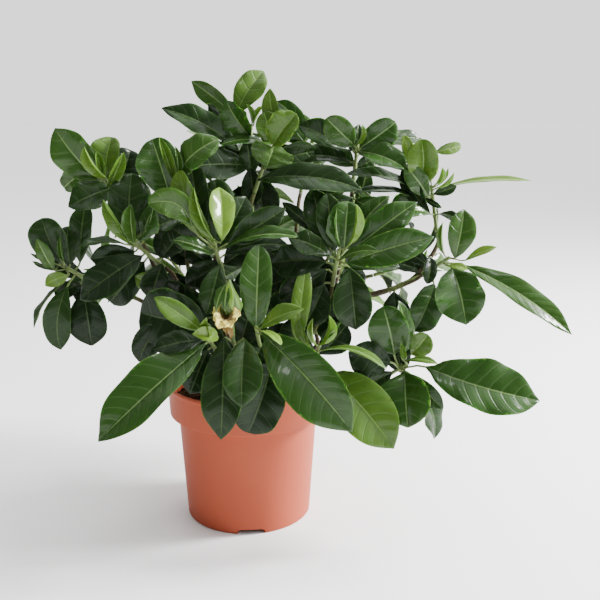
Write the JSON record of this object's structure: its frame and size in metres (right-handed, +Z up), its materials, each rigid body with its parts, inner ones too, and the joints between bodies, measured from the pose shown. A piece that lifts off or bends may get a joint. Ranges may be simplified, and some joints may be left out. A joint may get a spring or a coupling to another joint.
{
  "type": "potted gardenia",
  "caption": "Bushy potted gardenia: woody stems carry glossy dark leaves, bright young tufts and a withered flower above a plain plastic nursery pot.",
  "frame": {"origin": "centre of the pot's flat base, on the surface that it stands on", "axes": "+Z up along the pot's axis, -Y towards the side that the picture shows, +X to its right"},
  "size_m": [0.4226, 0.2987, 0.3641],
  "materials": {
    "pot_plastic": "smooth moulded terracotta-coloured plastic with a low sheen",
    "compost": "dark crumbly peat compost, matt",
    "bark": "thin brown bark, green towards the shoots",
    "mature_leaf": "glossy, leathery dark green with pale veins",
    "young_leaf": "glossy, tender yellow-green",
    "withered_petal": "dry, papery cream with brown edges"
  },
  "bodies": {
    "root": {"compost": "compost", "flower_calyx": "young_leaf", "pot": "pot_plastic", "shoot_back_centre": "mature_leaf", "shoot_back_inner_left": "mature_leaf", "shoot_back_inner_right": "mature_leaf", "shoot_back_left": "mature_leaf", "shoot_back_left_low": "mature_leaf", "shoot_back_left_top": "mature_leaf", "shoot_back_right": "mature_leaf", "shoot_back_right_low": "mature_leaf", "shoot_back_top": "mature_leaf", "shoot_centre_left": "mature_leaf", "shoot_centre_right": "mature_leaf", "shoot_flowering": "mature_leaf", "shoot_front": "mature_leaf", "shoot_front_left": "mature_leaf", "shoot_front_right": "mature_leaf", "shoot_inner_left": "mature_leaf", "shoot_inner_right": "mature_leaf", "shoot_left_inner": "mature_leaf", "shoot_left_low": "mature_leaf", "shoot_left_mid": "mature_leaf", "shoot_left_top": "mature_leaf", "shoot_right": "mature_leaf", "shoot_right_low": "mature_leaf", "shoot_right_top": "mature_leaf", "shoot_top": "mature_leaf", "shoot_top_centre": "mature_leaf", "shoot_top_right": "mature_leaf", "withered_petals": "withered_petal", "woody_stem_back_left": "bark", "woody_stem_back_right": "bark", "woody_stem_centre": "bark", "woody_stem_front_left": "bark", "woody_stem_front_right": "bark", "woody_stem_left": "bark", "woody_stem_right": "bark", "young_centre_left": "young_leaf", "young_centre_right": "young_leaf", "young_front": "young_leaf", "young_front_left": "young_leaf", "young_front_right": "young_leaf", "young_left_inner": "young_leaf", "young_left_low": "young_leaf", "young_left_mid": "young_leaf", "young_left_top": "young_leaf", "young_right": "young_leaf", "young_right_low": "young_leaf", "young_right_top": "young_leaf", "young_top": "young_leaf", "young_top_right": "young_leaf"}
  },
  "joints": []
}
